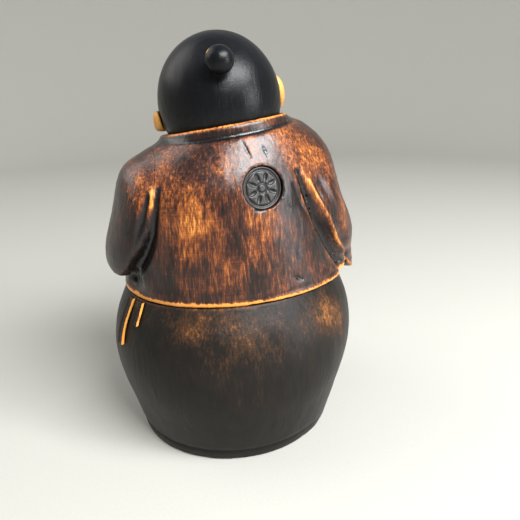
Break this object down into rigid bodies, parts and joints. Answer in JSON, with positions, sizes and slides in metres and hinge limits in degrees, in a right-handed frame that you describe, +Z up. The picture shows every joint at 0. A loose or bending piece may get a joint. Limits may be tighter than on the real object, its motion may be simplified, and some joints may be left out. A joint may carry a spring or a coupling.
{
  "type": "carved wooden figurine",
  "caption": "Stout carved wooden figure in a skullcap, wide-sleeved jacket and long robe, with a head that turns on a neck dowel.",
  "frame": {"origin": "middle of the flat foot, on the surface the figure stands on", "axes": "+Z up, the chest faces -Y, the figure's left side is +X"},
  "size_m": [0.1207, 0.1018, 0.1757],
  "materials": {
    "jacket_wood": "dark stain rubbed through to orange-brown, satin",
    "robe_wood": "black-brown stain, low satin",
    "cap_wood": "black, satin",
    "skin_wood": "ochre wood, waxed",
    "cuff_wood": "brown stain, satin",
    "sash_wood": "black-brown stain with bare edges",
    "roundel_wood": "dark grey-black, satin",
    "peg_wood": "bare turned wood"
  },
  "bodies": {
    "body": {"robe": "robe_wood", "jacket": "jacket_wood", "left_sleeve": "jacket_wood", "right_sleeve": "jacket_wood", "left_inner_cuff": "cuff_wood", "right_inner_cuff": "cuff_wood", "left_hand": "skin_wood", "right_hand": "skin_wood", "back_roundel": "roundel_wood", "sash_tail_long": "sash_wood", "sash_tail_short": "sash_wood", "front_toggle_1": "cap_wood", "front_toggle_2": "cap_wood", "front_toggle_3": "cap_wood", "waist_dowel_left": "peg_wood", "waist_dowel_right": "peg_wood", "left_shoulder_dowel_front": "peg_wood", "left_shoulder_dowel_rear": "peg_wood", "right_shoulder_dowel_front": "peg_wood", "right_shoulder_dowel_rear": "peg_wood"},
    "head": {"head": "skin_wood", "neck_dowel": "peg_wood", "cap": "cap_wood", "cap_button": "cap_wood"}
  },
  "joints": [
    {"name": "head_turn", "type": "hinge", "parent": "body", "child": "head", "pos_m": [-0.00067, -0.004, 0.1478], "axis": [0.1132, 0, 0.9936], "range_deg": [-15, 25]}
  ]
}
